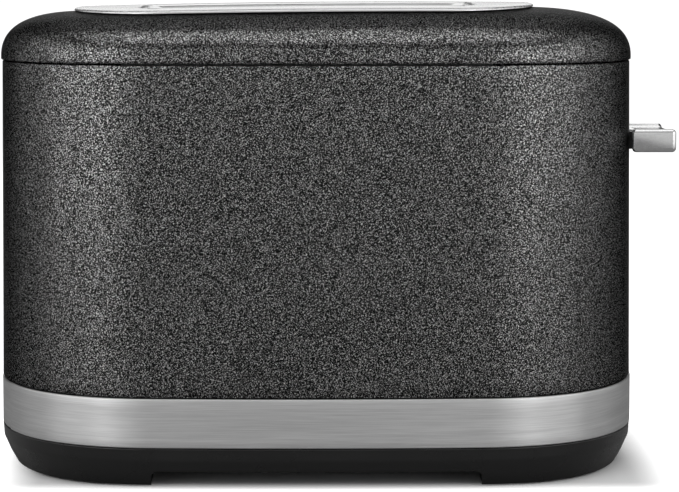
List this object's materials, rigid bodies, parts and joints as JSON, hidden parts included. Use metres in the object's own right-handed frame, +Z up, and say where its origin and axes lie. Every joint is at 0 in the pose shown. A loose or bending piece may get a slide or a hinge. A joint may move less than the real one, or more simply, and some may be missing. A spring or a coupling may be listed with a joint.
{
  "type": "pop up toaster",
  "caption": "Long two-slot pop-up toaster with textured black body, domed cover, brushed steel band and slot plate, side lever, shade dial and pull-out crumb tray.",
  "frame": {"origin": "centre of the bounding box, at the surface the feet stand on", "axes": "+X to the lever end (front), +Y across the two slots, +Z up"},
  "size_m": [0.2912, 0.176, 0.1989],
  "materials": {
    "wall_paint": "fine textured black powder coat",
    "dome_paint": "fine textured black powder coat",
    "band_steel": "brushed along its length",
    "plate_steel": "brushed, with a bright rolled edge",
    "lever_zinc": "satin metal, rounded edges",
    "dial_zinc": "satin metal with a spun face",
    "button_zinc": "satin metal",
    "pad_rubber": "matt black",
    "screw_steel": "zinc plated",
    "mica": "mica sheet wound with heating ribbon",
    "guide_wire": "bright wire",
    "rack_steel": "pressed sheet",
    "galvanised_steel": "galvanised sheet",
    "rod_steel": "polished rod",
    "bush_brass": "turned",
    "stop_rubber": "matt black",
    "switch_plastic": "matt black",
    "base_plastic": "fine satin moulding",
    "pod_plastic": "satin black",
    "arm_plastic": "matt black",
    "gland_rubber": "matt black",
    "tray_steel": "galvanised sheet",
    "carriage_steel": "galvanised sheet",
    "spring_steel": "oiled spring wire",
    "magnet_iron": "soft iron",
    "coil_copper": "wound enamelled wire",
    "pot_steel": "plated can",
    "board_green": "lacquered circuit board"
  },
  "bodies": {
    "housing": {"base_pan": "base_plastic", "trim_band": "band_steel", "side_shell": "wall_paint", "top_cover": "dome_paint", "slot_plate": "plate_steel", "foot_pad_rear_left": "pad_rubber", "foot_pad_rear_right": "pad_rubber", "foot_pad_front_left": "pad_rubber", "foot_pad_front_right": "pad_rubber", "base_screw_rear_left": "screw_steel", "base_screw_rear_right": "screw_steel", "base_screw_front_left": "screw_steel", "base_screw_front_right": "screw_steel", "cord_gland": "gland_rubber", "chassis_floor": "galvanised_steel", "chassis_front": "galvanised_steel", "chassis_rear": "galvanised_steel", "reflector_left": "galvanised_steel", "reflector_right": "galvanised_steel", "heater_card_left": "mica", "heater_card_centre": "mica", "heater_card_right": "mica", "lever_slot_trim": "arm_plastic", "lift_spring": "spring_steel", "guide_rod_left": "rod_steel", "lift_stop_left": "stop_rubber", "guide_rod_right": "rod_steel", "lift_stop_right": "stop_rubber", "rod_bracket_lower": "galvanised_steel", "rod_bracket_upper": "galvanised_steel", "magnet_core": "magnet_iron", "magnet_coil": "coil_copper", "contact_block": "arm_plastic", "control_pod": "pod_plastic", "control_board": "board_green", "shade_pot": "pot_steel", "switch_cancel": "switch_plastic", "switch_reheat": "switch_plastic", "switch_defrost": "switch_plastic", "switch_bagel": "switch_plastic"},
    "carriage": {"carriage_plate": "carriage_steel", "lever_arm": "arm_plastic", "lever_knob": "lever_zinc", "bread_rack_left": "rack_steel", "bread_rack_right": "rack_steel", "carriage_bush_left": "bush_brass", "carriage_bush_right": "bush_brass", "armature": "magnet_iron"},
    "tray": {"crumb_tray": "tray_steel", "tray_carrier": "base_plastic", "tray_fascia": "band_steel"},
    "guide_left_outer_body": {"bread_guide_left_outer": "guide_wire"},
    "guide_left_inner_body": {"bread_guide_left_inner": "guide_wire"},
    "guide_right_inner_body": {"bread_guide_right_inner": "guide_wire"},
    "guide_right_outer_body": {"bread_guide_right_outer": "guide_wire"},
    "dial": {"shade_dial": "dial_zinc"},
    "button_cancel_body": {"button_cancel": "button_zinc"},
    "button_reheat_body": {"button_reheat": "button_zinc"},
    "button_defrost_body": {"button_defrost": "button_zinc"},
    "button_bagel_body": {"button_bagel": "button_zinc"}
  },
  "joints": [
    {"name": "lift", "type": "slide", "parent": "housing", "child": "carriage", "axis": [0, 0, 1], "range_m": [-0.0692, 0.016], "stiffness_N_per_m": 60, "springref_m": 0.02908, "deforming": ["lift_spring"]},
    {"name": "guide_left_outer_hinge", "type": "hinge", "parent": "housing", "child": "guide_left_outer_body", "pos_m": [0, -0.0405, 0.044], "axis": [1, 0, 0], "range_deg": [-3.5, 0.85]},
    {"name": "guide_left_inner_hinge", "type": "hinge", "parent": "housing", "child": "guide_left_inner_body", "pos_m": [0, -0.0095, 0.044], "axis": [1, 0, 0], "range_deg": [-0.85, 3.5]},
    {"name": "guide_right_inner_hinge", "type": "hinge", "parent": "housing", "child": "guide_right_inner_body", "pos_m": [0, 0.0095, 0.044], "axis": [1, 0, 0], "range_deg": [-3.5, 0.85]},
    {"name": "guide_right_outer_hinge", "type": "hinge", "parent": "housing", "child": "guide_right_outer_body", "pos_m": [0, 0.0405, 0.044], "axis": [1, 0, 0], "range_deg": [-0.85, 3.5]},
    {"name": "shade_dial_turn", "type": "hinge", "parent": "housing", "child": "dial", "pos_m": [0.1167, 0.04995, 0.076], "axis": [0.8829, 0.4695, 0], "range_deg": [-135, 135]},
    {"name": "button_cancel_press", "type": "slide", "parent": "housing", "child": "button_cancel_body", "axis": [-0.8829, -0.4695, 0], "range_m": [0, 0.0015], "stiffness_N_per_m": 400, "springref_m": -0.0015},
    {"name": "button_reheat_press", "type": "slide", "parent": "housing", "child": "button_reheat_body", "axis": [-0.8829, -0.4695, 0], "range_m": [0, 0.0015], "stiffness_N_per_m": 400, "springref_m": -0.0015},
    {"name": "button_defrost_press", "type": "slide", "parent": "housing", "child": "button_defrost_body", "axis": [-0.8829, -0.4695, 0], "range_m": [0, 0.0015], "stiffness_N_per_m": 400, "springref_m": -0.0015},
    {"name": "button_bagel_press", "type": "slide", "parent": "housing", "child": "button_bagel_body", "axis": [-0.8829, -0.4695, 0], "range_m": [0, 0.0015], "stiffness_N_per_m": 400, "springref_m": -0.0015},
    {"name": "tray_pull", "type": "slide", "parent": "housing", "child": "tray", "axis": [-1, 0, 0], "range_m": [0, 0.19]}
  ],
  "couplings": [
    {"joint": "guide_left_outer_hinge", "follows": "lift", "rad_per_m": 0.87},
    {"joint": "guide_left_inner_hinge", "follows": "lift", "rad_per_m": -0.87},
    {"joint": "guide_right_inner_hinge", "follows": "lift", "rad_per_m": 0.87},
    {"joint": "guide_right_outer_hinge", "follows": "lift", "rad_per_m": -0.87}
  ]
}
